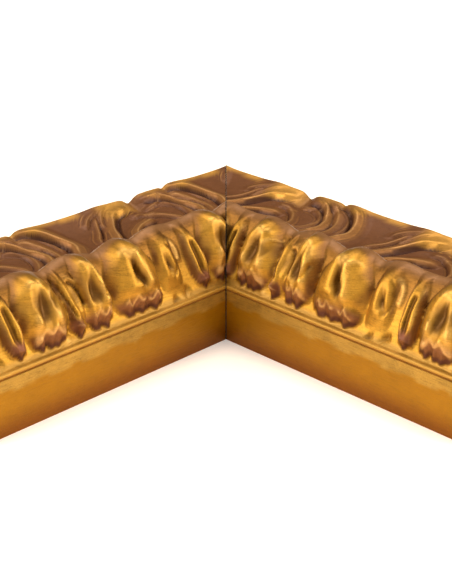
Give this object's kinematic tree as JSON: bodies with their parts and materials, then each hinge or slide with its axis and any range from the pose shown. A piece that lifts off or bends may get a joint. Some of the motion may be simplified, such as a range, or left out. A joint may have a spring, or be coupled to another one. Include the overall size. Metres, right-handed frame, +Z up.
{
  "type": "gilded frame moulding corner",
  "caption": "Mitred corner of carved, gilded frame moulding with a plain inner side, a row of dished pods below the crest and a wide scoop of swept folds.",
  "frame": {"origin": "middle of the footprint, on the underside", "axes": "+Z up from the back of the moulding to its face, right rail along +X from the corner, left rail along -Y"},
  "size_m": [0.19, 0.19, 0.0421],
  "materials": {
    "gilding": "aged yellow gold leaf over red-brown clay, rubbed through and toned darker in the scoop, with a satin ochre-painted inner side"
  },
  "bodies": {
    "root": {"left_rail": "gilding", "right_rail": "gilding"}
  },
  "joints": []
}
